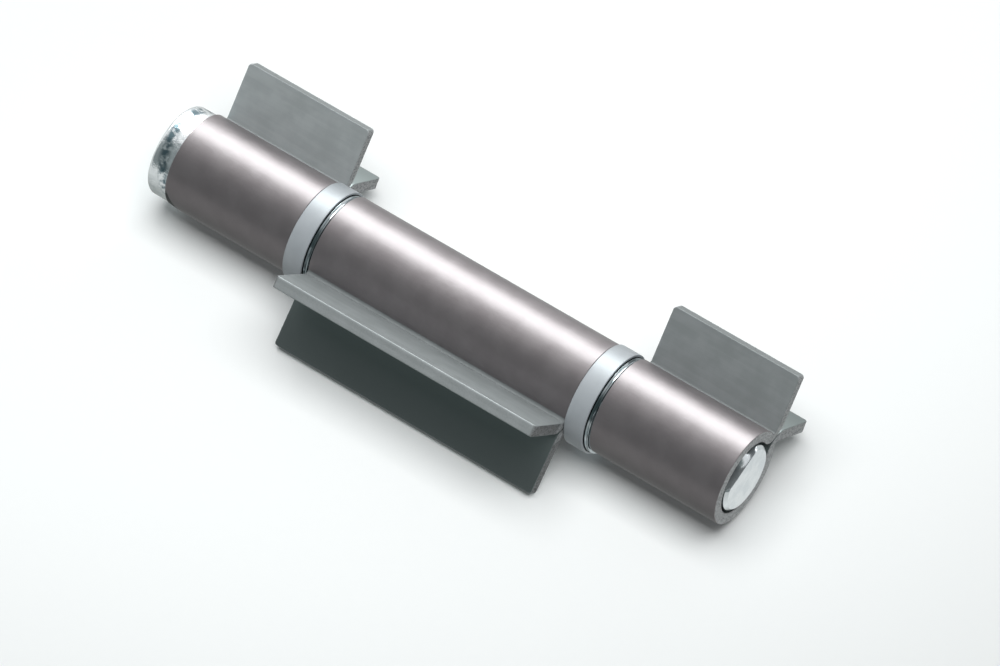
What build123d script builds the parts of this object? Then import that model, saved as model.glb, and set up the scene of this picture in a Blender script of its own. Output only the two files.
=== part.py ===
from build123d import *
import math
import os

# A three-part weld-on hinge that lies on a flat surface, in millimetres and degrees.
# X runs along the pin from its head to its plain end, and Z is up.

# Pin
pin_diameter = 14.0
pin_head_diameter = 19.2
pin_head_thickness = 4.8
pin_head_rounding = 0.85
pin_end_reach = 0.5
pin_end_chamfer = 0.6
pin_flat_depth = 2.4
pin_flat_length = 8.0
pin_flat_angle = 107.4

# Rolled leaves
sheet = 2.4
knuckle_play = 0.6
crease_radius = 0.6
neck_gap = 0.35
neck_reach = 2.2
outer_leaf_length = 28.7
door_leaf_length = 60.4
outer_wing_length = 11.7
door_wing_length = 12.56
outer_wing_angle = 45.0
door_wing_angle = 46.0
wing_corner = 0.6

# Thrust bearings
bearing_height = 5.5
bearing_bore = 15.0
shell_diameter = 21.3
shell_depth = 4.35
shell_sheet = 0.45
shell_rounding = 0.3
slide_ring_thickness = 1.6
race_chamfer = 0.2
race_clearance = 0.1
end_play = 0.05

# How the loose hinge lies
upper_leaf_lift = 5.4
lower_leaf_lift = 6.7
bearing_hang_angle = 72.0
hang_clearance = 0.05

# Sizes that follow from the ones above
pin_radius = pin_diameter / 2
pin_head_radius = pin_head_diameter / 2
bore_radius = pin_radius + knuckle_play
barrel_radius = bore_radius + sheet
roll_out_radius = crease_radius + sheet
neck_height = neck_gap / 2
wing_root = barrel_radius + neck_reach
shell_radius = shell_diameter / 2
race_radius = shell_radius - shell_sheet - race_clearance
bearing_bore_radius = bearing_bore / 2
bearing_pitch = bearing_height + 2 * end_play

# Stations along the pin, from the lower leaf's free end
lower_leaf_start = -outer_leaf_length
lower_bearing_start = lower_leaf_start - bearing_pitch
door_leaf_start = lower_bearing_start - door_leaf_length
upper_bearing_start = door_leaf_start - bearing_pitch
upper_leaf_start = upper_bearing_start - outer_leaf_length
pin_seat = upper_leaf_start - end_play

# The bearings hang on the pin by their loose bores, and their shells touch the floor
bearing_hang = bearing_bore_radius - pin_radius - hang_clearance
bearing_y = -bearing_hang * math.cos(math.radians(bearing_hang_angle))
bearing_z = -bearing_hang * math.sin(math.radians(bearing_hang_angle))
floor_z = bearing_z - shell_radius


def around(centre, radius, angle):
    """A point on a circle, at an angle in degrees from the first axis."""
    turn = math.radians(angle)
    return (centre[0] + radius * math.cos(turn), centre[1] + radius * math.sin(turn))


def arc_about(centre, radius, start, end):
    """An arc about a centre, between two angles in degrees."""
    middle = (start + end) / 2
    return ThreePointArc(
        around(centre, radius, start), around(centre, radius, middle), around(centre, radius, end)
    )


def crease_place(wing_angle):
    """The centre of the crease between barrel and wing, and the angle at which the barrel ends there."""
    wing_plane = wing_root * math.sin(math.radians(wing_angle)) - sheet
    reach = barrel_radius + crease_radius
    barrel_end = wing_angle - 90 + math.degrees(math.acos((wing_plane - crease_radius) / reach))
    return around((0, 0), reach, barrel_end), barrel_end


def wing_tip(wing_length, wing_angle):
    """The outer corner of a wing's tip, across the section from the barrel's axis."""
    crease, _ = crease_place(wing_angle)
    wing_start = around(crease, crease_radius, wing_angle - 90)
    return around(wing_start, wing_length, wing_angle)


def neck_place():
    """The centre of the roll from bore to neck, and the angle at which the bore ends there."""
    height = roll_out_radius + neck_height
    bore_end = math.degrees(math.asin(height / (bore_radius + roll_out_radius)))
    return around((0, 0), bore_radius + roll_out_radius, bore_end), bore_end


def half_outline(wing_length, wing_angle):
    """One crease, wing and neck of the leaf's section, as a chain from the barrel to the bore."""
    crease, barrel_end = crease_place(wing_angle)
    neck, bore_end = neck_place()
    outer_start = around(crease, crease_radius, wing_angle - 90)
    outer_tip = wing_tip(wing_length, wing_angle)
    inner_tip = around(outer_tip, sheet, wing_angle - 90)
    root = wing_root + neck_height / math.tan(math.radians(wing_angle))
    turn = (root - roll_out_radius * math.tan(math.radians(wing_angle / 2)), neck[1])
    inner_start = around(turn, roll_out_radius, wing_angle - 90)
    return [
        arc_about(crease, crease_radius, barrel_end - 180, wing_angle - 90),
        Line(outer_start, outer_tip),
        Line(outer_tip, inner_tip),
        Line(inner_tip, inner_start),
        arc_about(turn, roll_out_radius, wing_angle - 90, -90),
        Line((turn[0], neck_height), (neck[0], neck_height)),
        arc_about(neck, roll_out_radius, -90, bore_end - 180),
    ]


def leaf_section(wing_length, wing_angle):
    """The closed section of a leaf: a rolled barrel whose two ends meet in a neck and turn out into a V."""
    _, barrel_end = crease_place(wing_angle)
    _, bore_end = neck_place()
    half = half_outline(wing_length, wing_angle)
    barrel = arc_about((0, 0), barrel_radius, barrel_end, 360 - barrel_end)
    bore = arc_about((0, 0), bore_radius, bore_end, 360 - bore_end)
    return make_face([barrel, bore, *half, *[mirror(edge, about=Plane.XZ) for edge in half]])


def leaf(length, wing_length, wing_angle, start, direction):
    """A leaf rolled from one sheet, with its V pointing at an angle in degrees up from +Y."""
    blank = extrude(Plane.YZ * leaf_section(wing_length, wing_angle), amount=length)
    tips = blank.faces().sort_by(lambda face: math.hypot(face.center().Y, face.center().Z))[-2:]
    corners = [edge for tip in tips for edge in tip.edges().filter_by(Axis.X, reverse=True)]
    rounded = fillet(corners, wing_corner)
    return Pos(start, 0, 0) * Rot(direction, 0, 0) * rounded


def door_lift():
    """How far the door leaf's V points above the horizontal once its lower wing tip meets the floor."""
    across, height = wing_tip(door_wing_length, door_wing_angle)
    reach = math.hypot(across, height)
    return math.degrees(math.atan2(height, across) - math.asin(-floor_z / reach))


def turned(points):
    """A ring or rod turned about X from the corners of its section, each a station and a radius."""
    return revolve(make_face(Polyline(*points, close=True)), Axis.X)


def hinge_pin():
    """The pin: a cold-headed round bar with a chamfered plain end and a milled flat."""
    head_start = pin_seat - pin_head_thickness
    bar = turned(
        [
            (head_start, 0),
            (head_start, pin_head_radius),
            (pin_seat, pin_head_radius),
            (pin_seat, pin_radius),
            (pin_end_reach - pin_end_chamfer, pin_radius),
            (pin_end_reach, pin_radius - pin_end_chamfer),
            (pin_end_reach, 0),
        ]
    )
    rim = bar.faces().sort_by(Axis.X)[0].edges()
    headed = fillet(rim, pin_head_rounding)
    cutter = Box(
        pin_flat_length,
        pin_diameter,
        pin_flat_depth,
        align=(Align.MAX, Align.CENTER, Align.MIN),
    )
    flat = Pos(pin_end_reach, 0, 0) * Rot(pin_flat_angle - 90, 0, 0) * Pos(0, 0, pin_radius - pin_flat_depth)
    return headed - flat * cutter


def bearing_shell():
    """The drawn steel cup that closes a bearing, open towards the plain end of the pin."""
    return turned(
        [
            (0, bearing_bore_radius),
            (0, shell_radius - shell_rounding),
            (shell_rounding, shell_radius),
            (shell_depth, shell_radius),
            (shell_depth, shell_radius - shell_sheet),
            (shell_sheet, shell_radius - shell_sheet),
            (shell_sheet, bearing_bore_radius),
        ]
    )


def slide_ring():
    """The low-friction ring that the race turns on, on the floor of the shell."""
    return turned(
        [
            (shell_sheet, bearing_bore_radius),
            (shell_sheet, race_radius),
            (shell_sheet + slide_ring_thickness, race_radius),
            (shell_sheet + slide_ring_thickness, bearing_bore_radius),
        ]
    )


def bearing_race():
    """The turned ring that stands out of the shell and carries the next leaf."""
    start = shell_sheet + slide_ring_thickness + end_play
    return turned(
        [
            (start, bearing_bore_radius),
            (start, race_radius),
            (bearing_height - race_chamfer, race_radius),
            (bearing_height, race_radius - race_chamfer),
            (bearing_height, bearing_bore_radius),
        ]
    )


def bearing(name, start):
    """The three pieces of one thrust bearing, which hangs off the pin's centre."""
    place = Pos(start + end_play, bearing_y, bearing_z)
    return {
        f"{name}_bearing_shell": place * bearing_shell(),
        f"{name}_slide_ring": place * slide_ring(),
        f"{name}_bearing_race": place * bearing_race(),
    }


def hinge():
    """Every piece of the hinge by name, about the pin's axis."""
    return {
        "upper_leaf": leaf(
            outer_leaf_length, outer_wing_length, outer_wing_angle, upper_leaf_start, upper_leaf_lift
        ),
        "door_leaf": leaf(
            door_leaf_length, door_wing_length, door_wing_angle, door_leaf_start, 180 - door_lift()
        ),
        "lower_leaf": leaf(
            outer_leaf_length, outer_wing_length, outer_wing_angle, lower_leaf_start, lower_leaf_lift
        ),
        "hinge_pin": hinge_pin(),
        **bearing("upper", upper_bearing_start),
        **bearing("lower", lower_bearing_start),
    }


def floor_centre(pieces):
    """The point on the floor below the middle of all the pieces."""
    boxes = [piece.bounding_box() for piece in pieces.values()]
    middle_x = (min(box.min.X for box in boxes) + max(box.max.X for box in boxes)) / 2
    middle_y = (min(box.min.Y for box in boxes) + max(box.max.Y for box in boxes)) / 2
    return Vector(middle_x, middle_y, floor_z)


pieces = hinge()
origin = floor_centre(pieces)
os.makedirs("parts", exist_ok=True)
for name, piece in pieces.items():
    export_step(Pos(-origin) * piece, f"parts/{name}.step")
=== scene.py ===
"""A three-part weld-on hinge that lies on a pale table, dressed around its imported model.

Lengths in the classes are millimetres and angles degrees, until a mesh is made in metres.
X runs along the pin from its head to its plain end, Y towards the outer leaves' wings, and Z is up.
"""
import logging
from dataclasses import dataclass, field
from enum import Enum

import bpy
import numpy as np
from mathutils import Matrix


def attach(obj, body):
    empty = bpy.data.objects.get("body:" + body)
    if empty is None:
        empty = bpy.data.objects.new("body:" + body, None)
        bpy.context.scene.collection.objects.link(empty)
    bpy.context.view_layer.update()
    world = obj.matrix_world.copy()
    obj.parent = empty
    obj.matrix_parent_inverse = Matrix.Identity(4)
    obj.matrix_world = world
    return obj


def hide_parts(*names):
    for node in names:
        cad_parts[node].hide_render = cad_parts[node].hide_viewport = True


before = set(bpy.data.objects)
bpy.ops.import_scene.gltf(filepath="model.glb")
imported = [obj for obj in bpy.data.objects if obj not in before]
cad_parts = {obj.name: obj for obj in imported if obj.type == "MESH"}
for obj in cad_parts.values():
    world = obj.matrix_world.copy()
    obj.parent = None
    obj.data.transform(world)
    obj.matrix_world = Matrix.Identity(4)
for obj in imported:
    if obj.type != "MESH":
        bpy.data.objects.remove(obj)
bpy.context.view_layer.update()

Array = np.ndarray
Material = bpy.types.Material
Socket = bpy.types.NodeSocket
Triple = tuple[float, float, float]
Colour = Triple

MM = 0.001
PER_METRE = (1000.0, 1000.0, 1000.0)

# A face keeps flat up to this near its rounded edge
SUPPORT = 0.05
TURN_STEPS = 240

# The parts of a sheared edge, from the outer face: a rounding, a torn band and a rounding
ROUND_STEPS = 5
BAND_STEPS = 7

# Where the pin's axis and the bearings' axis cross the Y and Z plane
PIN_AXIS = (-0.164, 11.078)
BEARING_AXIS = (-0.304, 10.65)

log = logging.getLogger("hinge")


class Slot(Enum):
    """The record's material slots."""

    LEAF = "leaf_steel"
    PIN = "pin_zinc"
    SHELL = "shell_zinc"
    RACE = "race_steel"
    SLIDE = "slide_polymer"


def unit(angle: Array | float) -> Array:
    """Unit vectors across the section, from angles in degrees off its first axis."""
    turn = np.radians(angle)
    return np.stack([np.cos(turn), np.sin(turn)], axis=-1)


def normal(vector: Array) -> Array:
    """The vector's direction, at a length of 1."""
    return vector / np.linalg.norm(vector)


def smooth_step(value: Array, low: float, high: float) -> Array:
    """Goes from 0 at low to 1 at high, as three squares less two cubes of the share between them."""
    share = np.clip((value - low) / (high - low), 0.0, 1.0)
    return share * share * (3 - 2 * share)


def ripple(coordinates: Array, seed: int, octaves: int) -> Array:
    """A smooth random height: a sum of sine waves whose lengths halve and whose directions are seeded.

    Args:
        coordinates: points, in columns for their dimensions, where 1 is the longest wave's length.
        seed: picks the waves' directions and starts.
        octaves: how many times the wave's length halves.

    Returns:
        One height a point, mostly between -1 and 1.
    """
    rng = np.random.default_rng(seed)
    height = np.zeros(coordinates.shape[:-1])
    wave_count, fading, gain = 6, 1.6, 1.3
    for octave in range(octaves):
        waves = rng.normal(size=(wave_count, coordinates.shape[-1]))
        waves *= 2 * np.pi * 2.0**octave / np.linalg.norm(waves, axis=1, keepdims=True)
        phases = rng.uniform(0, 2 * np.pi, wave_count)
        height += np.sin(coordinates @ waves.T + phases).mean(axis=-1) / fading**octave
    return height * gain


def round_corners(corners: list[Triple], steps: int = 6) -> Array:
    """A section's outline with its corners rounded, each an arc that touches both of its runs.

    Args:
        corners: each corner's two coordinates and its rounding's radius, or 0 where it stays sharp.
        steps: parts to an arc.

    Returns:
        The outline's points, with one more just before and after each arc to keep the flats flat.
    """
    table = np.array(corners, float)
    points, radii = table[:, :2], table[:, 2]
    outline = []
    for index, (corner, radius) in enumerate(zip(points, radii)):
        if radius <= 0:
            outline.append(corner[None])
            continue
        before, after = normal(points[index - 1] - corner), normal(points[(index + 1) % len(points)] - corner)
        half = np.arccos(np.clip(before @ after, -1, 1)) / 2
        reach = radius / np.tan(half)
        centre = corner + normal(before + after) * radius / np.sin(half)
        first, last = corner + before * reach - centre, corner + after * reach - centre
        share = np.linspace(0, 1, steps + 1)[:, None]
        sweep = np.pi - 2 * half
        arc = (np.sin((1 - share) * sweep) * first + np.sin(share * sweep) * last) / np.sin(sweep)
        away = reach + SUPPORT
        outline.append(np.vstack([corner + before * away, centre + arc, corner + after * away]))
    return np.vstack(outline)


def placed(name: str, data: bpy.types.ID, axes: tuple[Array, ...] = ()) -> bpy.types.Object:
    """Puts a new object in the scene, with its own X, Y and Z and its place in metres as axes, if given."""
    made = bpy.data.objects.new(name, data)
    if axes:
        made.matrix_world = Matrix([*np.stack(axes, axis=-1).tolist(), [0.0, 0.0, 0.0, 1.0]])
    bpy.context.scene.collection.objects.link(made)
    return made


@dataclass
class Surface:
    """A mesh in the making: points in millimetres, faces and what its material reads."""

    points: Array
    quads: Array
    triangles: Array = field(default_factory=lambda: np.zeros((0, 3), int))
    notes: dict[str, Array] = field(default_factory=dict)

    def piece(self, name: str, body: str, slot: Slot, node: str, material: Material) -> None:
        """Makes the piece, which rides its body and stands for its CAD node.

        Args:
            name: the object's name.
            body: the CAD body that it rides on.
            slot: not used.
            node: the CAD node that it replaces.
            material: its finish.
        """
        mesh = bpy.data.meshes.new(name)
        mesh.vertices.add(len(self.points))
        mesh.vertices.foreach_set("co", (self.points * MM).astype(np.float32).ravel())
        corners = np.hstack([self.quads.ravel(), self.triangles.ravel()])
        sizes = np.hstack([np.full(len(self.quads), 4), np.full(len(self.triangles), 3)])
        mesh.loops.add(len(corners))
        mesh.loops.foreach_set("vertex_index", corners.astype(np.int32))
        mesh.polygons.add(len(sizes))
        mesh.polygons.foreach_set("loop_start", (np.cumsum(sizes) - sizes).astype(np.int32))
        mesh.polygons.foreach_set("use_smooth", np.ones(len(sizes), bool))
        for key, values in self.notes.items():
            flat = values.ndim == 1
            layer = mesh.attributes.new(key, "FLOAT" if flat else "FLOAT_VECTOR", "POINT")
            layer.data.foreach_set("value" if flat else "vector", values.astype(np.float32).ravel())
        mesh.update(calc_edges=True)
        mesh.validate()
        mesh.materials.append(material)
        piece = placed(name, mesh)
        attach(piece, body)
        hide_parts(node)
        log.info("%s: %d points, %d faces, on %s", name, len(self.points), len(sizes), body)


def grid_quads(rows: int, columns: int, wrap: tuple[bool, bool] = (False, False)) -> Array:
    """The faces between the neighbours of a grid of points that is stored row by row.

    Args:
        rows: how many rows it has.
        columns: how many columns.
        wrap: whether the last row joins the first, and whether the last column does.

    Returns:
        Four point numbers a face, turned from the row's next point to the next row.
    """
    row, column = np.arange(rows - 1 + wrap[0])[:, None], np.arange(columns - 1 + wrap[1])[None]
    near, far, beside = row * columns, (row + 1) % rows * columns, (column + 1) % columns
    return np.stack([near + column, near + beside, far + beside, far + column], axis=-1).reshape(-1, 4)


def turned(outline: Array, centre: tuple[float, float], radius_of=None) -> Surface:
    """A profile turned round a line along X: every point of it goes round a circle of its own radius.

    Args:
        outline: the profile's points, each a station and a radius. It closes on itself, unless its ends lie
            on the line.
        centre: where the line crosses the Y and Z plane.
        radius_of: a function of stations, radii and angles that gives the radii to use instead.

    Returns:
        The closed surface, facing outwards where the profile runs towards +X on its outside.
    """
    solid = outline[0, 1] == 0
    rim = outline[1:-1] if solid else outline
    angle = np.linspace(0, 2 * np.pi, TURN_STEPS, endpoint=False)
    station = np.broadcast_to(rim[:, :1], (len(rim), TURN_STEPS))
    radius = np.broadcast_to(rim[:, 1:], station.shape)
    if radius_of is not None:
        radius = radius_of(station, radius, angle[None])
    across, up = centre[0] + radius * np.cos(angle), centre[1] + radius * np.sin(angle)
    points = np.stack([station, across, up], axis=-1).reshape(-1, 3)
    quads = grid_quads(len(rim), TURN_STEPS, wrap=(not solid, True))
    if not solid:
        return Surface(points, quads)
    here, there = np.arange(TURN_STEPS), np.roll(np.arange(TURN_STEPS), -1)
    first, last, end = here * 0 + len(points), here * 0 + len(points) + 1, len(points) - TURN_STEPS
    triangles = np.hstack([(first, there, here), (last, end + here, end + there)]).T
    points = np.vstack([points, [outline[0, 0], *centre], [outline[-1, 0], *centre]])
    return Surface(points, quads, triangles)


@dataclass(frozen=True)
class Grain:
    """A noise's size, in spots per millimetre, and how much fine detail it has."""

    scale: float
    detail: float = 4.0
    roughness: float = 0.55


class Nodes:
    """A material's or world's node tree, with short calls that add a node and link it."""

    def __init__(self, tree: bpy.types.NodeTree) -> None:
        """Takes a tree and empties it."""
        self.tree = tree
        tree.nodes.clear()

    def add(self, kind: str, settings: dict | None = None, **inputs) -> bpy.types.Node:
        """Adds a node.

        Args:
            kind: the node's type, without its ShaderNode prefix.
            settings: the node's own properties.
            inputs: a socket or value for each input, by its name with _ for a space, or by i and its number.
        """
        node = self.tree.nodes.new("ShaderNode" + kind)
        for key, value in (settings or {}).items():
            setattr(node, key, value)
        for key, value in inputs.items():
            numbered = key[0] == "i" and key[1:].isdigit()
            target = node.inputs[int(key[1:]) if numbered else key.replace("_", " ")]
            if isinstance(value, Socket):
                self.tree.links.new(value, target)
            else:
                target.default_value = value
        return node

    def math(self, operation: str, *values) -> Socket:
        """The result of a Math node on sockets or numbers."""
        inputs = {f"i{index}": value for index, value in enumerate(values)}
        return self.add("Math", {"operation": operation}, **inputs).outputs[0]

    def between(self, share: Socket, first: float, second: float) -> Socket:
        """A number between two, by a share."""
        return self.math("MULTIPLY_ADD", share, second - first, first)

    def remap(self, value: Socket, low: float, high: float, to_low=0.0, to_high=1.0) -> Socket:
        """A value carried from one range to another and held at its ends, smoothly."""
        ends = {"From_Min": low, "From_Max": high, "To_Min": to_low, "To_Max": to_high}
        return self.add("MapRange", {"interpolation_type": "SMOOTHSTEP"}, Value=value, **ends).outputs[0]

    def mix(self, share: Socket, first: Socket | Colour, second: Socket | Colour) -> Socket:
        """A colour between two, by a share. Among a Mix node's sockets, 6, 7 and 2 are those for colours."""
        first, second = (value if isinstance(value, Socket) else (*value, 1.0) for value in (first, second))
        return self.add("Mix", {"data_type": "RGBA"}, i0=share, i6=first, i7=second).outputs[2]

    def dimmed(self, colour: Socket, factor: Socket) -> Socket:
        """A colour times a number."""
        return self.add("VectorMath", {"operation": "SCALE"}, i0=colour, Scale=factor).outputs[0]

    def object_place(self, scale: Triple = PER_METRE) -> Socket:
        """The piece's own coordinates, in millimetres unless another scale is given."""
        return self.add("Mapping", Vector=self.add("TexCoord").outputs["Object"], Scale=scale).outputs[0]

    def sheet_place(self, drawn: float = 1.0) -> Socket:
        """The place on a leaf's sheet in millimetres, drawn out along the pin by a share below 1."""
        vector = self.add("Attribute", {"attribute_name": "sheet_mm"}).outputs["Vector"]
        return self.add("Mapping", Vector=vector, Scale=(drawn, 1.0, 1.0)).outputs[0]

    def amount(self, name: str) -> Socket:
        """A number that the mesh carries."""
        return self.add("Attribute", {"attribute_name": name}).outputs["Fac"]

    def noise(self, place: Socket, grain: Grain) -> Socket:
        """Noise from 0 to 1 over a place."""
        return self.add(
            "TexNoise", Vector=place, Scale=grain.scale, Detail=grain.detail, Roughness=grain.roughness,
        ).outputs[0]

    def clouded(self, cloud: Socket, shade: Colour, light: Colour) -> Socket:
        """A colour that drifts between two, by a noise with its ends cut off."""
        return self.mix(self.remap(cloud, 0.35, 0.65), shade, light)

    def bump(self, height: Socket, relief: float, strength: float = 1.0, **under: Socket) -> Socket:
        """A normal tilted by a height, whose relief is in millimetres, over another Normal if given."""
        return self.add("Bump", Height=height, Distance=relief * MM, Strength=strength, **under).outputs[0]

    def finish(self, **inputs) -> None:
        """Ends a material's tree with its shader, whose inputs are given as for a node."""
        self.add("OutputMaterial", Surface=self.add("BsdfPrincipled", **inputs).outputs[0])


def new_material(name: str) -> tuple[Material, Nodes]:
    """An empty node material and its tree."""
    material = bpy.data.materials.new(name)
    material.use_nodes = True
    return material, Nodes(material.node_tree)


@dataclass(frozen=True)
class RolledSteel:
    """Bare cold-rolled sheet: a burnished barrel, duller wings and grainy cut edges."""

    barrel_colour: Colour = (0.210, 0.194, 0.200)
    barrel_dark: Colour = (0.193, 0.177, 0.183)
    wing_colour: Colour = (0.298, 0.322, 0.328)
    wing_dark: Colour = (0.256, 0.280, 0.283)
    # Painted shade: the inner face's darker colour, for the shade inside the V between the wings
    shaded_inside_colour: Colour = (0.25, 0.285, 0.285)
    cut_light: Colour = (0.44, 0.45, 0.46)
    cut_dark: Colour = (0.16, 0.17, 0.175)
    barrel_roughness: float = 0.39
    wing_roughness: float = 0.5
    barrel_metallic: float = 0.6
    wing_metallic: float = 0.1
    inside_metallic: float = 0.75
    cut_metallic: float = 0.3
    specular: float = 0.2
    inside_starts: float = 2.2
    inside_full: float = 2.38
    streak_share: float = 0.45
    streak_drawn: float = 0.04
    rolled_drawn: float = 0.25
    cloud_gloss: float = 0.10
    rolled_gloss: float = 0.08
    cut_rougher: float = 0.10
    cloud: Grain = Grain(0.22, 3.0)
    rolled: Grain = Grain(2.2, 5.0, 0.6)
    streak: Grain = Grain(0.8, 3.0, 0.6)
    speckle: Grain = Grain(2.6, 3.0, 0.7)
    wave: Grain = Grain(0.9, 3.0)
    wave_relief: float = 0.010
    rolled_relief: float = 0.002
    speckle_relief: float = 0.05

    def material(self) -> Material:
        """Builds the node material from the sheet's own coordinates."""
        material, nodes = new_material("rolled_steel")
        sheet, drawn = nodes.sheet_place(), nodes.sheet_place(self.rolled_drawn)
        barrel, cut = nodes.amount("barrel"), nodes.amount("cut")
        cloud, rolled = nodes.noise(sheet, self.cloud), nodes.noise(drawn, self.rolled)
        speckle = nodes.noise(sheet, self.speckle)
        depth = nodes.add("SeparateXYZ", Vector=sheet).outputs["Z"]
        inside = nodes.remap(depth, self.inside_starts, self.inside_full)

        # Colour
        streaks = nodes.noise(nodes.sheet_place(self.streak_drawn), self.streak)
        streaks = nodes.math("MULTIPLY", streaks, self.streak_share)
        mottle = nodes.math("ADD", nodes.math("MULTIPLY", cloud, 1 - self.streak_share), streaks)
        wing_tone = nodes.clouded(mottle, self.wing_dark, self.wing_colour)
        # The tone note dims the flats by the leaves' painted shade and painted highlight; the inner face's
        # darker colour mixed in here is painted shade too
        flat_tone = nodes.dimmed(nodes.mix(inside, wing_tone, self.shaded_inside_colour), nodes.amount("tone"))
        tone = nodes.mix(barrel, flat_tone, nodes.clouded(cloud, self.barrel_dark, self.barrel_colour))
        cut_tone = nodes.mix(nodes.remap(speckle, 0.34, 0.6), self.cut_dark, self.cut_light)
        # Painted shade: the cut ends of the wings dimmed
        colour = nodes.mix(cut, tone, nodes.dimmed(cut_tone, nodes.amount("end_shade")))

        # Gloss
        middle = (self.cloud_gloss + self.rolled_gloss) / 2
        varied = nodes.math("MULTIPLY_ADD", rolled, self.rolled_gloss, -middle)
        varied = nodes.math("MULTIPLY_ADD", cloud, self.cloud_gloss, varied)
        rough = nodes.math("ADD", nodes.between(barrel, self.wing_roughness, self.barrel_roughness), varied)
        rough = nodes.math("MULTIPLY_ADD", cut, self.cut_rougher, rough)
        metal = nodes.between(barrel, self.wing_metallic, self.barrel_metallic)
        metal = nodes.math("MULTIPLY_ADD", inside, self.inside_metallic - self.wing_metallic, metal)
        metal = nodes.math("MULTIPLY_ADD", cut, nodes.math("SUBTRACT", self.cut_metallic, metal), metal)

        # Relief
        waves = nodes.bump(nodes.noise(drawn, self.wave), self.wave_relief)
        fine = nodes.bump(rolled, self.rolled_relief, 0.6, Normal=waves)
        pitted = nodes.bump(nodes.math("MULTIPLY", speckle, cut), self.speckle_relief, 0.8, Normal=fine)
        nodes.finish(
            Base_Color=colour, Metallic=metal, Roughness=rough, Normal=pitted,
            Specular_IOR_Level=self.specular,
        )
        return material


@dataclass(frozen=True)
class BrightZinc:
    """Bright zinc plate on a cold-headed bar: blue-white, with a hammered head painted paler as a reflection,
    and crossed by a band of painted dark reflection.
    """

    light: Colour = (0.78, 0.82, 0.84)
    shade: Colour = (0.68, 0.73, 0.76)
    # Painted reflection: the head paler than the shank, for the pale table it mirrors
    head_painted_reflection: Colour = (0.93, 0.97, 0.99)
    # Painted reflection: the dark blue-green of the band across the head
    dark_reflection: Colour = (0.10, 0.17, 0.20)
    metallic: float = 0.85
    roughness: float = 0.2
    head_roughness: float = 0.1
    head_ends: float = -62.5
    shank_starts: float = -61.5
    dark_reflection_share: float = 0.95
    # Where the painted dark reflection lies: a band slanted across the head
    band_slant: float = 0.32
    band_start: float = -58.8
    band_core: float = 0.3
    band_width: float = 1.7
    beyond_band: float = 0.12
    cloud: Grain = Grain(0.35)
    mottle: Grain = Grain(1.6, 4.0, 0.6)
    dark_reflection_grain: Grain = Grain(0.5, 4.0, 0.6)
    dent: Grain = Grain(0.9, 5.0, 0.62)
    dent_relief: float = 0.10
    mottle_relief: float = 0.012

    def material(self) -> Material:
        """Builds the node material from the pin's own coordinates."""
        material, nodes = new_material("bright_zinc")
        place = nodes.object_place()
        mottle = nodes.noise(place, self.mottle)
        parts = nodes.add("SeparateXYZ", Vector=place).outputs
        on_head = nodes.remap(parts["X"], self.head_ends, self.shank_starts, 1.0, 0.0)
        # Painted dark reflection: dark spots in a slanted band on the head
        off_band = nodes.math("SUBTRACT", parts["X"], self.band_start)
        slant = nodes.math("MULTIPLY_ADD", parts["Z"], self.band_slant, off_band)
        slant = nodes.math("ABSOLUTE", slant)
        in_band = nodes.remap(slant, self.band_core, self.band_width, 1.0, self.beyond_band)
        dark_reflection_spots = nodes.remap(nodes.noise(place, self.dark_reflection_grain), 0.40, 0.56, 0.0, self.dark_reflection_share)
        dark_reflection = nodes.math("MULTIPLY", nodes.math("MULTIPLY", dark_reflection_spots, in_band), on_head)
        plated = nodes.clouded(nodes.noise(place, self.cloud), self.shade, self.light)
        # Painted reflection: the head paler, with a painted dark reflection in a band across it
        colour = nodes.mix(dark_reflection, nodes.mix(on_head, plated, self.head_painted_reflection), self.dark_reflection)
        base_rough = nodes.between(on_head, self.roughness - 0.05, self.head_roughness - 0.05)
        rough = nodes.math("MULTIPLY_ADD", mottle, 0.10, base_rough)
        dents = nodes.math("MULTIPLY", nodes.noise(place, self.dent), on_head)
        hammered = nodes.bump(mottle, self.mottle_relief, Normal=nodes.bump(dents, self.dent_relief))
        nodes.finish(Base_Color=colour, Metallic=self.metallic, Roughness=rough, Normal=hammered)
        return material


@dataclass(frozen=True)
class GrainedFinish:
    """A plain finish, whose gloss and relief follow a fine grain.

    Its colour drifts between two by a broader cloud, or by the grain itself where it has no cloud.
    """

    name: str
    light: Colour
    shade: Colour
    grain: Grain
    relief: float
    roughness: float
    varied: float = 0.10
    metallic: float = 0.0
    refraction: float = 1.5
    cloud: Grain | None = None
    grain_scale: Triple = PER_METRE

    def material(self) -> Material:
        """Builds the node material from the piece's own coordinates."""
        material, nodes = new_material(self.name)
        grain = nodes.noise(nodes.object_place(self.grain_scale), self.grain)
        if self.cloud is None:
            colour = nodes.mix(grain, self.shade, self.light)
        else:
            colour = nodes.clouded(nodes.noise(nodes.object_place(), self.cloud), self.shade, self.light)
        rough = nodes.math("MULTIPLY_ADD", grain, self.varied, self.roughness - self.varied / 2)
        nodes.finish(
            Base_Color=colour, Metallic=self.metallic, Roughness=rough, Normal=nodes.bump(grain, self.relief),
            IOR=self.refraction,
        )
        return material


# Matte zinc plate on the drawn shells, pale grey with a faint blue
MATTE_ZINC = GrainedFinish(
    "matte_zinc", (0.375, 0.405, 0.43), (0.35, 0.38, 0.405), Grain(7.0, 3.0, 0.6), relief=0.003,
    roughness=0.42, metallic=0.1, cloud=Grain(0.25, 3.0),
)

# The bright turned races, whose tool marks are grain drawn out round the axis
TURNED_STEEL = GrainedFinish(
    "turned_steel", (0.42, 0.46, 0.48), (0.27, 0.32, 0.34), Grain(1.0, 3.0, 0.6), relief=0.004,
    roughness=0.13, varied=0.12, metallic=1.0, cloud=Grain(0.5, 3.0), grain_scale=(9000.0, 60.0, 60.0),
)

# The slide rings' cream plastic
MOULDED_ACETAL = GrainedFinish(
    "moulded_acetal", (0.86, 0.85, 0.80), (0.80, 0.78, 0.72), Grain(3.0), relief=0.01, roughness=0.42,
    refraction=1.48,
)


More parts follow.
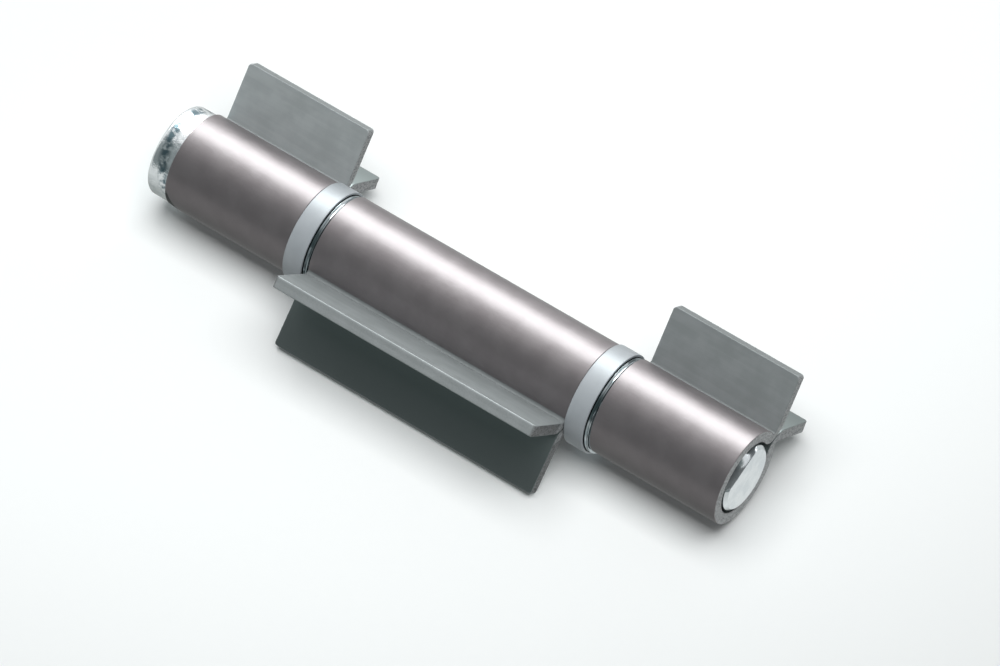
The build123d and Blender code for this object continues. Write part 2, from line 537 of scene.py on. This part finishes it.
@dataclass(frozen=True)
class Strip:
    """A leaf's sheet as rows along its strip.

    Each row has a point of the outer face, the step through a millimetre of the sheet, its way along the
    strip, its share of burnished barrel, and how far its ends are drawn in by the tip's rounded corners.
    """

    outer: Array
    inwards: Array
    way: Array
    burnished: Array
    inset: Array

    def mirrored(self) -> "Strip":
        """The whole strip, from the lower wing's tip to the upper wing's: this half and its mirror image."""
        flip = np.array([1.0, -1.0])
        halves = zip(vars(self).values(), (flip, flip, -1, 1, 1))
        return Strip(*[np.concatenate([half[:0:-1] * mirror, half]) for half, mirror in halves])

    def along(self) -> Array:
        """Each row's direction along the strip, square to its step through the sheet."""
        way = np.stack([self.inwards[:, 1], -self.inwards[:, 0]], axis=-1)
        return way * np.sign(np.einsum("ij,ij->i", np.gradient(self.outer, axis=0), way))[:, None]


@dataclass(frozen=True)
class Rim:
    """A loop of points round a leaf's faces, and its edge's levels from the outer face to the inner.

    A point has its number and row in the faces' grid. Its side is -1 on the free end and 1 on the other, and
    its tip -1 on the lower wing's and 1 on the upper's. An end's squareness falls from 1 to 0 round a corner.
    Each level has a station, a way past the row and a depth below the outer face.
    """

    first: Array
    row: Array
    side: Array
    tip: Array
    squareness: Array
    hammered: Array
    station: Array
    past: Array
    depth: Array


@dataclass(frozen=True)
class LeafTones:
    """How light a leaf's parts are beside its steel, as factors: mostly painted shade, and one painted
    highlight.
    """

    # Painted light: each leaf's overall brightness, for the light falling off along the pin
    whole: float = 1.0
    # Painted shade: the tip edges darker
    tip_shade: float = 1.0
    # Painted shadow: the lower tip darker, where it meets the table
    lower_tip_shade: float = 0.6
    # Painted highlight: a bright line along the upper tip's outer edge
    tip_highlight: float = 1.0
    # Painted shade: the wings' cut ends darker
    wing_end_shade: float = 0.9
    wing_end_reach: float = 2.0
    # Painted shade: darker in the crease between barrel and wing
    crease: float = 0.72
    crease_reach: float = 0.7
    # Painted shade: the wing darker towards its root, next to the barrel
    root_shade: float = 0.15
    root_shade_share: float = 0.8
    # Painted shade: the inner face darker towards the wing's tip
    inner_shade: float = 0.3
    inner_shade_share: float = 0.9
    beaten: float = 0.82
    tip_cut: float = 0.1


@dataclass(frozen=True)
class RolledLeaf:
    """A leaf: one sheet rolled into a barrel, whose two ends meet in a pressed neck and turn out into a V.

    The sheet is a long strip with rounded edges, which follows wing, crease, barrel, crease and wing. A point
    of it has a place along the strip, a depth below the outer face and a station along the pin.
    """

    name: str
    start: float
    length: float
    direction: float
    wing_length: float
    wing_angle: float
    tones: LeafTones = LeafTones()
    sheet: float = 2.4
    barrel_radius: float = 10.0
    crease_radius: float = 0.6
    neck_gap: float = 0.35
    neck_reach: float = 2.2
    corner: float = 0.75
    edge: float = 0.15
    outer_depth: float = 0.15
    inner_depth: float = 0.14
    fracture: float = 0.05
    tear_starts: float = 0.3
    tear_full: float = 0.45
    tear_length: float = 1.1
    tear_share: float = 0.35
    barrel_steps: int = 53
    crease_steps: int = 28
    wing_steps: int = 10
    arc_steps: int = 6
    columns: int = 39
    facet: float = 0.0
    facet_depth: float = 0.08
    facet_angle: float = 200.0
    facet_turn: float = 24.0

    def half_outer(self) -> tuple[Array, Array]:
        """The outer face of half of the strip, up to where the wing starts.

        Returns:
            The barrel's points, and the crease's on a small circle that touches the barrel and the wing.
        """
        wing_plane = (self.barrel_radius + self.neck_reach) * np.sin(np.radians(self.wing_angle)) - self.sheet
        reach = self.barrel_radius + self.crease_radius
        barrel_end = self.wing_angle - 90 + np.degrees(np.arccos((wing_plane - self.crease_radius) / reach))
        barrel_angle = np.linspace(180, barrel_end, self.barrel_steps + 1)
        crease_angle = np.linspace(barrel_end + 180, self.wing_angle + 270, self.crease_steps + 1)[1:]
        crease = reach * unit(barrel_end) + self.crease_radius * unit(crease_angle)
        return self.barrel_radius * unit(barrel_angle), crease

    def half_inner(self) -> tuple[Array, Array]:
        """The inner face of half of the strip: the bore, a roll out of it, a flat neck and a roll into the V.

        Returns:
            The bore's points and the others, as many as the outer face has there.
        """
        bore, roll, rise = self.barrel_radius - self.sheet, self.crease_radius + self.sheet, self.neck_gap / 2
        reach = bore + roll
        bore_end = np.degrees(np.arcsin((roll + rise) / reach))
        root = self.barrel_radius + self.neck_reach + rise / np.tan(np.radians(self.wing_angle))
        turn = np.array([root - roll * np.tan(np.radians(self.wing_angle / 2)), rise + roll])
        bore_angle = np.linspace(180, bore_end, self.barrel_steps + 1)
        first = self.crease_steps // 2
        out_angle = np.linspace(bore_end + 180, 270, first + 1)[1:]
        in_angle = np.linspace(270, self.wing_angle + 270, self.crease_steps - first)
        rest = np.vstack([reach * unit(bore_end) + roll * unit(out_angle), turn + roll * unit(in_angle)])
        return bore * unit(bore_angle), rest

    def half_strip(self) -> Strip:
        """Half of the strip, from the middle of the barrel's back to the wing's tip.

        The wing's points lie on the line that leaves the crease, and the inner face's on a line below it.
        """
        barrel, crease = self.half_outer()
        bore, neck = self.half_inner()
        arc_radius = self.corner - self.edge
        flat = self.wing_length - self.corner
        turn = np.linspace(0, np.pi / 2, self.arc_steps + 1)
        flat_way = np.linspace(0, flat, self.wing_steps + 1)[1:-1]
        wing_way = np.hstack([flat_way, flat + arc_radius * np.sin(turn)])
        drawn_in = np.hstack([flat_way * 0, arc_radius * (1 - np.cos(turn))])
        wing = crease[-1] + wing_way[:, None] * unit(self.wing_angle)
        tip = crease[-1] + self.wing_length * unit(self.wing_angle) + self.sheet * unit(self.wing_angle - 90)
        inner_flat = (tip - neck[-1]) @ unit(self.wing_angle)
        inner_way = wing_way + (inner_flat - self.wing_length) * smooth_step(wing_way, 0, 0.7 * flat)
        inner_wing = neck[-1] + inner_way[:, None] * unit(self.wing_angle)
        outer, inner = np.vstack([barrel, crease, wing]), np.vstack([bore, neck, inner_wing])
        steps = np.linalg.norm(np.diff((outer + inner) / 2, axis=0), axis=1)
        fade = 1 - smooth_step(np.arange(1, len(crease) + 1) / len(crease), 0.0, 0.1)
        return Strip(
            outer=outer,
            inwards=(inner - outer) / self.sheet,
            way=np.hstack([[0], np.cumsum(steps)]),
            burnished=np.hstack([np.ones(len(barrel)), fade, np.zeros(len(wing))]),
            inset=np.hstack([np.zeros(len(barrel) + len(crease)), drawn_in]),
        )

    def struck(self, way: Array) -> Array:
        """How far the rim of the free end is hammered flat, from 0 to 1, by a bell curve round the barrel."""
        on_barrel = np.abs(way) < np.pi * self.barrel_radius
        angle = 180 - way / (self.barrel_radius - self.sheet / 2) * 180 / np.pi
        off = (angle % 360 - self.facet_angle) / self.facet_turn
        return np.exp(-(off**2)) * on_barrel * bool(self.facet)

    def stations(self, strip: Strip) -> Array:
        """The faces' stations, a row of them for each row of the strip, from the leaf's middle."""
        half = self.length / 2
        left = -half + (self.edge + self.facet * self.struck(strip.way)) + strip.inset
        right = half - self.edge - strip.inset
        share = np.linspace(0, 1, self.columns)
        share = np.sort(np.hstack([share, [SUPPORT / self.length, 1 - SUPPORT / self.length]]))
        return left[:, None] + (right - left)[:, None] * share

    def rim(self, strip: Strip, station: Array) -> Rim:
        """The loop round both faces, and the levels of its edge.

        Their section is a quarter ellipse off each face, and between them a slightly torn band, as a sheared
        edge has. Where the end is hammered flat, the first ellipse widens into a slope.
        """
        rows, columns = station.shape
        down, across = np.arange(rows), np.arange(1, columns - 1)
        row = np.hstack([down, across * 0 + rows - 1, down[::-1], across * 0])
        column = np.hstack([down * 0, across, down * 0 + columns - 1, across[::-1]])
        way, loop = strip.way[row], station[row, column]
        side, tip = 1.0 * (column == columns - 1) - (column == 0), 1.0 * (row == rows - 1) - (row == 0)
        squareness = np.clip(1 - strip.inset[row] / (self.corner - self.edge), 0, 1) * (side != 0)
        hammered = np.where(side < 0, self.struck(strip.way)[row], 0.0)
        width, begin = self.edge + self.facet * hammered, self.outer_depth + self.facet_depth * hammered

        quarter = np.linspace(0, np.pi / 2, ROUND_STEPS + 1)[1:, None]
        far, low = np.sin(quarter), 1 - np.cos(quarter)
        step = np.linspace(0, 1, BAND_STEPS + 2)[1:-1, None]
        distance = np.cumsum(np.hstack([[0], np.hypot(np.diff(way), np.diff(loop))])) / self.tear_length
        band_place = np.stack(np.broadcast_arrays(distance, step * 2.0), axis=-1)
        rough = ripple(band_place, seed=7, octaves=3) * self.tear_share
        torn = smooth_step(step, self.tear_starts, self.tear_full)
        reach = np.vstack([
            width * far,
            width - self.fracture * torn * (1 + rough),
            width * far[-2::-1] - self.fracture * far[-2::-1],
        ])
        depth = np.vstack([
            begin * (low + hammered * (far - low)),
            begin + (self.sheet - self.inner_depth - begin) * step,
            self.sheet - self.inner_depth * low[-2::-1] + 0 * way,
        ])
        turned_out = np.where(side != 0, np.sqrt(1 - squareness**2) * np.sign(way), tip)
        return Rim(
            row * columns + column, row, side, tip, squareness, hammered,
            station=loop + side * squareness * reach, past=turned_out * reach, depth=depth,
        )

    def place(self, strip: Strip, row: Array, depth: Array, station: Array, past: Array) -> Array:
        """Points in the frame, from their rows, depths and stations, and how far they pass their rows."""
        flat = strip.outer[row] + strip.inwards[row] * depth[..., None] + strip.along()[row] * past[..., None]
        turn = np.radians(self.direction)
        across = flat[..., 0] * np.cos(turn) - flat[..., 1] * np.sin(turn)
        up = flat[..., 0] * np.sin(turn) + flat[..., 1] * np.cos(turn)
        middle = self.start + self.length / 2
        return np.stack([station + middle, across + PIN_AXIS[0], up + PIN_AXIS[1]], axis=-1).reshape(-1, 3)

    def notes(self, strip: Strip, station: Array, rim: Rim) -> dict[str, Array]:
        """What the steel reads at each point of the outer face, the inner face and the rim's levels.

        Returns:
            The place on the sheet, the shares of burnished barrel and of cut edge, and the tones of flats and
            cut ends, with their painted shade and painted highlight.
        """
        tones, levels = self.tones, np.arange(len(rim.depth))[:, None]
        past_crease = np.clip(np.abs(strip.way) - (strip.way[-1] - self.wing_length), 0, None)
        # Painted shade: darker towards the wing's root
        shade = 1 - tones.root_shade * (1 - smooth_step(past_crease, 0.0, tones.root_shade_share * self.wing_length))
        # Painted shade in the crease
        shade *= tones.crease + (1 - tones.crease) * smooth_step(past_crease, 0.0, tones.crease_reach)
        # Painted shade: the inner face darker towards the wing's tip
        inner = 1 - tones.inner_shade * smooth_step(past_crease, 0.0, tones.inner_shade_share * self.wing_length)
        # Painted shade on the wings' cut ends, which the material reads
        on_end = smooth_step(past_crease[rim.row], 0.0, tones.wing_end_reach) * (rim.side != 0)

        low_tip = rim.tip * np.cos(np.radians(self.direction)) < 0
        # Painted shade on the tip edges, and a painted shadow on the lower tip where it meets the table
        tip_tone = np.where(rim.side == 0, tones.tip_shade, 1.0) * np.where(low_tip, tones.lower_tip_shade, 1.0)
        # Painted highlight: the outer rounding of the upper tip made lighter
        line = ((rim.side == 0) & ~low_tip) * (levels < ROUND_STEPS)
        beaten = smooth_step(rim.hammered, 0.1, 0.3) * (levels <= ROUND_STEPS)
        rim_tone = shade[rim.row] * tip_tone * (1 + (tones.tip_highlight - 1) * line) * (1 - tones.beaten * beaten)
        torn = (levels >= ROUND_STEPS - 1) & (levels <= ROUND_STEPS + BAND_STEPS)
        cut = torn * (tones.tip_cut + (1 - tones.tip_cut) * rim.squareness)

        rows = [strip.way, strip.burnished, shade, inner]
        way, burnished, outer_tone, inner_shade_tone = np.repeat(rows, station.shape[1], axis=1)
        none = np.zeros(station.size)
        top = np.stack([station.ravel(), way, none], axis=-1)
        edge = np.stack([rim.station, strip.way[rim.row] + rim.past, rim.depth], axis=-1).reshape(-1, 3)
        rim_burnished = strip.burnished[rim.row] * (1 - beaten)
        end_shade = np.tile(1 - (1 - tones.wing_end_shade) * on_end, len(levels))
        return {
            "sheet_mm": np.vstack([top, top + [0, 0, self.sheet], edge]),
            "barrel": np.hstack([burnished, none, rim_burnished.ravel()]),
            "cut": np.hstack([none, none, cut.ravel()]),
            "end_shade": np.hstack([none + 1, none + 1, end_shade]),
            "tone": tones.whole * np.hstack([outer_tone, inner_shade_tone, rim_tone.ravel()]),
        }

    def surface(self) -> Surface:
        """The leaf's closed surface: two grids of rows by stations, and a rim round them."""
        strip = self.half_strip().mirrored()
        station = self.stations(strip)
        rim = self.rim(strip, station)
        rows, columns = station.shape
        every, none = np.arange(rows)[:, None], np.zeros(station.shape)
        points = np.vstack([
            self.place(strip, every, none, station, none),
            self.place(strip, every, none + self.sheet, station, none),
            self.place(strip, rim.row, rim.depth, rim.station, rim.past),
        ])
        levels = 2 * station.size + np.arange(rim.depth.size).reshape(rim.depth.shape)
        ladder = np.vstack([rim.first, levels, station.size + rim.first])
        rim_quads = ladder.ravel()[grid_quads(*ladder.shape, wrap=(False, True))]
        face = grid_quads(rows, columns)
        quads = np.vstack([face[:, ::-1], face + station.size, rim_quads[:, ::-1]])
        return Surface(points, quads, notes=self.notes(strip, station, rim))

    def build(self, material: Material) -> None:
        """Makes the dressed leaf in place of its CAD node."""
        self.surface().piece(f"{self.name}_sheet", self.name, Slot.LEAF, self.name, material)


@dataclass(frozen=True)
class HeadedPin:
    """The pin: a cold-headed bar with a chamfered plain end and a milled flat."""

    head_start: float = -67.175
    seat: float = -62.375
    end: float = 67.175
    radius: float = 7.0
    head_radius: float = 9.6
    head_rounding: float = 0.85
    head_crown: float = 0.12
    crown_reach: float = 1.2
    head_lip: float = 0.22
    seat_rounding: float = 0.3
    chamfer: float = 0.6
    chamfer_rounding: float = 0.12
    end_rounding: float = 0.08
    flat_length: float = 8.0
    flat_depth: float = 2.4
    flat_angle: float = 107.4
    flat_run_out: float = 0.4
    flat_easing: float = 0.04
    dimple_start: float = 0.45
    dimple_slope: float = 0.7
    dimple_place: float = -1.8
    dimple_width: float = 1.3
    dimple_rise: float = 1.8

    def radius_with_flat(self, station: Array, radius: Array, angle: Array) -> Array:
        """The bar's radius less what the cutter took: the lesser of bar and flat, with a slightly eased edge.

        The flat rises at one place across it, by a bell curve, where a hammer struck its end.

        Args:
            station: stations along the pin.
            radius: the bar's plain radius there.
            angle: angles round the pin.
        """
        widest, grazing, far_off = 1.2, 0.05, 1e3
        flat_start = self.end - self.flat_length
        run_in = smooth_step(station, flat_start - self.flat_run_out, flat_start)
        height = self.radius - self.flat_depth + (1 - run_in) * self.head_radius
        turn = angle - np.radians(self.flat_angle)
        across = height * np.tan(np.clip(turn, -widest, widest))
        struck = np.exp(-(((across - self.dimple_place) / self.dimple_width) ** 2))
        inwards = np.clip(self.end - self.dimple_start - station, 0, None)
        height = height + struck * np.minimum(self.dimple_slope * inwards, self.dimple_rise)
        facing = np.cos(turn)
        flat = np.where(facing > grazing, height / np.maximum(facing, grazing), far_off)
        gap = np.clip(0.5 + 0.5 * (flat - radius) / self.flat_easing, 0, 1)
        lesser = flat * (1 - gap) + radius * gap - self.flat_easing * gap * (1 - gap)
        return np.where(flat > radius + self.flat_easing, radius, lesser)

    def surface(self) -> Surface:
        """The pin's closed surface, turned from its outline and cut by its flat."""
        outline = round_corners([
            (self.head_start, 0, 0),
            (self.head_start, self.head_radius, self.head_rounding),
            (self.seat, self.head_radius, self.head_lip),
            (self.seat, self.radius, self.seat_rounding),
            (self.end - self.chamfer, self.radius, self.chamfer_rounding),
            (self.end, self.radius - self.chamfer, self.end_rounding),
            (self.end, 0, 0),
        ])

        # More rings along the shank and on both end faces, close together where the flat begins
        flat_start = self.end - self.flat_length
        cutter_start = flat_start - self.flat_run_out
        stations = np.hstack([
            np.linspace(self.seat + 1, cutter_start - 0.1, 24),
            np.linspace(cutter_start, flat_start, 7),
            np.linspace(flat_start + 0.1, self.end - self.chamfer - 0.4, 20),
        ])
        split = np.flatnonzero(outline[:, 0] > cutter_start)[0]
        shank = np.stack([stations, np.full_like(stations, self.radius)], axis=-1)
        face_rings = np.linspace(0.97, 0.08, 12)[:, None] * [0.0, outline[-2, 1]] + [self.end, 0.0]
        head_rings = np.linspace(0.06, 0.97, 14)[:, None] * [0.0, outline[1, 1]] + [self.head_start, 0.0]
        outline = np.vstack([
            outline[:1], head_rings, outline[1:split], shank, outline[split:-1], face_rings, outline[-1:],
        ])
        crown = self.head_crown * np.clip(outline[:, 1] / self.head_radius, 0, 1) ** 2
        outline[:, 0] += np.where(outline[:, 0] < self.head_start + self.crown_reach, crown, 0.0)
        return turned(outline, PIN_AXIS, self.radius_with_flat)

    def build(self, material: Material) -> None:
        """Makes the dressed pin in place of its CAD node."""
        self.surface().piece("hinge_pin_bar", "hinge_pin", Slot.PIN, "hinge_pin", material)


@dataclass(frozen=True)
class ThrustBearing:
    """A shielded thrust bearing: a drawn shell, a slide ring in it and a turned race that stands out."""

    name: str
    start: float
    shell_body: str
    race_body: str
    bore_radius: float = 7.5
    shell_radius: float = 10.65
    shell_depth: float = 4.35
    shell_sheet: float = 0.45
    shell_rounding: float = 0.26
    race_radius: float = 10.1
    race_start: float = 2.1
    height: float = 5.5
    ridge_start: float = 4.52
    cone_end: float = 4.9
    bead_start: float = 4.98
    bead_end: float = 5.3
    cone_drop: float = 0.2
    bead_lean: float = 0.06
    recess_depth: float = 0.45

    def ring(self, corners: list[Triple], steps: int = 6) -> Surface:
        """A ring's closed surface, from corners with stations off the bearing's start."""
        outline = round_corners([(x + self.start, r, e) for x, r, e in corners], steps)
        return turned(outline, BEARING_AXIS)

    def shell_surface(self) -> Surface:
        """The shell's closed surface: a shallow cup with a soft outer corner and a trimmed lip."""
        outer, inner = self.shell_radius, self.shell_radius - self.shell_sheet
        return self.ring([
            (0, self.bore_radius, 0.06),
            (0, outer, self.shell_rounding),
            (self.shell_depth, outer, 0.12),
            (self.shell_depth, inner, 0.05),
            (self.shell_sheet, inner, 0.15),
            (self.shell_sheet, self.bore_radius, 0.06),
        ])

    def race_surface(self) -> Surface:
        """The race's closed surface: a turned ring with a sharp ridge, a cone and a polished bead."""
        outer, seat = self.race_radius, self.race_radius - self.recess_depth
        return self.ring([
            (self.race_start, self.bore_radius, 0.08),
            (self.race_start, seat, 0.05),
            (self.ridge_start, seat, 0.03),
            (self.ridge_start + 0.02, outer, 0.035),
            (self.cone_end, outer - self.cone_drop, 0.03),
            (self.cone_end + 0.02, seat, 0.02),
            (self.bead_start - 0.02, seat, 0.02),
            (self.bead_start, outer - self.bead_lean, 0.07),
            (self.bead_end, outer, 0.07),
            (self.bead_end + 0.03, seat, 0.03),
            (self.height, seat, 0.05),
            (self.height, self.bore_radius, 0.12),
        ], steps=5)

    def build(self, shell: Material, race: Material, slide: Material) -> None:
        """Makes the dressed shell and race, and gives the hidden slide ring its finish."""
        shell_node, race_node = f"{self.name}_bearing_shell", f"{self.name}_bearing_race"
        self.shell_surface().piece(f"{self.name}_shell", self.shell_body, Slot.SHELL, shell_node, shell)
        self.race_surface().piece(f"{self.name}_race", self.race_body, Slot.RACE, race_node, race)
        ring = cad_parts[f"{self.name}_slide_ring"]
        ring.data.materials.clear()
        ring.data.materials.append(slide)
        log.info("%s: CAD ring dressed", ring.name)


@dataclass(frozen=True)
class SoftLamp:
    """A soft lamp that faces the object, in metres and watts, for glossy surfaces or else for matte ones."""

    name: str
    towards: Triple
    distance: float
    size: tuple[float, float]
    power: float
    glossy: bool
    colour: Colour = (1.0, 1.0, 1.0)

    def build(self) -> None:
        """Adds the lamp, with its width as level as it can lie along X."""
        back, level = normal(np.array(self.towards, float)), np.array([1.0, 0.0, 0.0])
        across = normal(level - back * (level @ back))
        data = bpy.data.lights.new(self.name, "AREA")
        data.shape = "RECTANGLE"
        data.size, data.size_y = self.size
        data.energy = self.power
        data.color = self.colour
        lamp = placed(self.name, data, (across, np.cross(back, across), back, back * self.distance))
        lamp.visible_glossy = self.glossy
        lamp.visible_diffuse = not self.glossy
        lamp.visible_camera = False


@dataclass(frozen=True)
class Room:
    """A dim grey room that is paler on the far side, as a world that depends on direction alone."""

    near_wall: Colour = (0.10, 0.13, 0.13)
    side_walls: Colour = (0.9, 0.9, 0.9)
    far_wall: Colour = (1.3, 1.3, 1.3)
    matte_light: Colour = (0.16, 0.17, 0.17)
    below_left: Colour = (0.33, 0.35, 0.34)
    below_right: Colour = (0.9, 0.92, 0.91)
    open_floor: Colour = (0.62, 0.64, 0.63)

    def build(self) -> None:
        """Makes the world: walls over the horizon, and under it what the metal shows of the table."""
        world = bpy.data.worlds.new("room")
        bpy.context.scene.world = world
        world.use_nodes = True
        nodes = Nodes(world.node_tree)
        way = nodes.add("SeparateXYZ", Vector=nodes.add("TexCoord").outputs["Generated"]).outputs
        walls = nodes.mix(nodes.remap(way["Y"], -0.5, 0.05), self.near_wall, self.side_walls)
        walls = nodes.mix(nodes.remap(way["Y"], 0.1, 0.95), walls, self.far_wall)
        walls = nodes.mix(nodes.add("LightPath").outputs["Is Diffuse Ray"], walls, self.matte_light)
        floor = nodes.mix(nodes.remap(way["X"], -0.1, 0.3), self.below_left, self.below_right)
        floor = nodes.mix(nodes.remap(way["Z"], -0.95, -0.5), floor, self.open_floor)
        colour = nodes.mix(nodes.remap(way["Z"], -0.15, 0.0), floor, walls)
        nodes.add("OutputWorld", Surface=nodes.add("Background", Color=colour).outputs[0])


@dataclass(frozen=True)
class Table:
    """A wide pale table top with a painted pool of light: palest round one spot, darker away from it. On the
    metal, the room's lower half stands in for it.
    """

    light: Colour = (0.86, 0.882, 0.882)
    shade: Colour = (0.85, 0.872, 0.872)
    grain: Grain = Grain(0.5, 3.0)
    painted_light_spot: Triple = (-105.0, 80.0, 0.0)
    painted_light_reach: float = 129.0
    painted_falloff_reach: float = 330.0
    painted_falloff_tone: float = 0.674
    half_width: float = 4.0

    def build(self) -> None:
        """Adds the table top."""
        material, nodes = new_material("pale_table")
        place = nodes.object_place()
        colour = nodes.mix(nodes.noise(place, self.grain), self.shade, self.light)
        # Painted light: the table's colour darkens with distance from one spot, for the falloff of the lamps'
        # light
        off = nodes.add("VectorMath", {"operation": "DISTANCE"}, i0=place, i1=self.painted_light_spot).outputs["Value"]
        painted_falloff = nodes.remap(off, self.painted_light_reach, self.painted_falloff_reach, 1.0, self.painted_falloff_tone)
        nodes.finish(Base_Color=nodes.dimmed(colour, painted_falloff), Roughness=0.9, Specular_IOR_Level=0.1)
        mesh = bpy.data.meshes.new("table")
        corners = np.array([(-1, -1, 0), (1, -1, 0), (1, 1, 0), (-1, 1, 0)]) * self.half_width
        mesh.from_pydata(corners.tolist(), [], [(0, 1, 2, 3)])
        mesh.materials.append(material)
        table = placed("table", mesh)
        table.visible_diffuse = False
        table.visible_glossy = False


@dataclass(frozen=True)
class Studio:
    """The table, the room, a long-lens camera, and two lamps. The barrels' white streak is the softbox."""

    azimuth: float = 35.3988
    elevation: float = 53.7418
    roll: float = -0.2501
    distance: float = 1509.33
    lens: float = 284.87
    sensor: float = 36.0
    aim_x: float = 2.175
    aim_right: float = 6.452
    aim_down: float = 3.097
    softbox: SoftLamp = SoftLamp(
        "softbox", (-0.343, 0.582, 0.675), 0.9, (1.4, 0.615), 23.2, glossy=True, colour=(0.96, 1.0, 0.985),
    )
    overhead: SoftLamp = SoftLamp("overhead", (0.08, 0.01, 1.0), 0.8, (0.95, 0.64), 8.4, glossy=False)

    def camera(self) -> None:
        """Places the camera: it looks along the line from its place to the aim, then rolls about it."""
        azimuth, elevation, roll = np.radians([self.azimuth, self.elevation, self.roll])
        back = np.array([
            np.cos(elevation) * np.sin(azimuth), -np.cos(elevation) * np.cos(azimuth), np.sin(elevation),
        ])
        level = normal(np.cross(-back, [0.0, 0.0, 1.0]))
        down = np.cross(-back, level)
        right = np.cos(roll) * level + np.sin(roll) * down
        low = np.cos(roll) * down - np.sin(roll) * level
        aim = np.array([self.aim_x, *PIN_AXIS]) + self.aim_right * right + self.aim_down * low
        data = bpy.data.cameras.new("camera")
        data.lens = self.lens
        data.sensor_width = self.sensor
        data.clip_start = 0.05
        data.clip_end = 50.0
        place = (aim + back * self.distance) * MM
        bpy.context.scene.camera = placed("camera", data, (right, -low, back, place))

    def build(self) -> None:
        """Sets the camera, the lamps, the room, the table and how light becomes colour."""
        self.camera()
        for part in (self.softbox, self.overhead, Room(), Table()):
            part.build()
        settings = bpy.context.scene.view_settings
        settings.view_transform = "Standard"
        settings.look = "None"
        log.info("studio ready")


@dataclass(frozen=True)
class WeldOnHinge:
    """The whole hinge: three leaves, a pin and two bearings."""

    # Each leaf's tones are painted light and shade: overall brightness, darker tip edges and wing ends, and a
    # highlight along the door leaf's upper tip
    leaves: tuple[RolledLeaf, ...] = (
        RolledLeaf("upper_leaf", -62.325, 28.7, 5.4, 11.7, 45.0, LeafTones(whole=1.16, tip_shade=0.78), facet=2.6),
        RolledLeaf(
            "door_leaf", -28.025, 60.4, 180.2314, 12.56, 46.0, LeafTones(wing_end_shade=0.5, tip_highlight=1.4),
            corner=0.6,
        ),
        RolledLeaf("lower_leaf", 37.975, 28.7, 6.7, 11.7, 45.0, LeafTones(whole=0.86, tip_shade=0.88)),
    )
    pin: HeadedPin = HeadedPin()
    bearings: tuple[ThrustBearing, ...] = (
        ThrustBearing("upper", -33.575, "upper_shell", "upper_race"),
        ThrustBearing("lower", 32.425, "lower_shell", "lower_leaf"),
    )

    def build(self) -> None:
        """Makes every dressed piece."""
        steel = RolledSteel().material()
        for leaf in self.leaves:
            leaf.build(steel)
        self.pin.build(BrightZinc().material())
        shell, race, slide = (finish.material() for finish in (MATTE_ZINC, TURNED_STEEL, MOULDED_ACETAL))
        for bearing in self.bearings:
            bearing.build(shell, race, slide)


def main() -> None:
    """Builds the studio and the hinge."""
    logging.basicConfig(level=logging.INFO, format="%(message)s")
    Studio().build()
    WeldOnHinge().build()


if __name__ == "__main__":
    main()
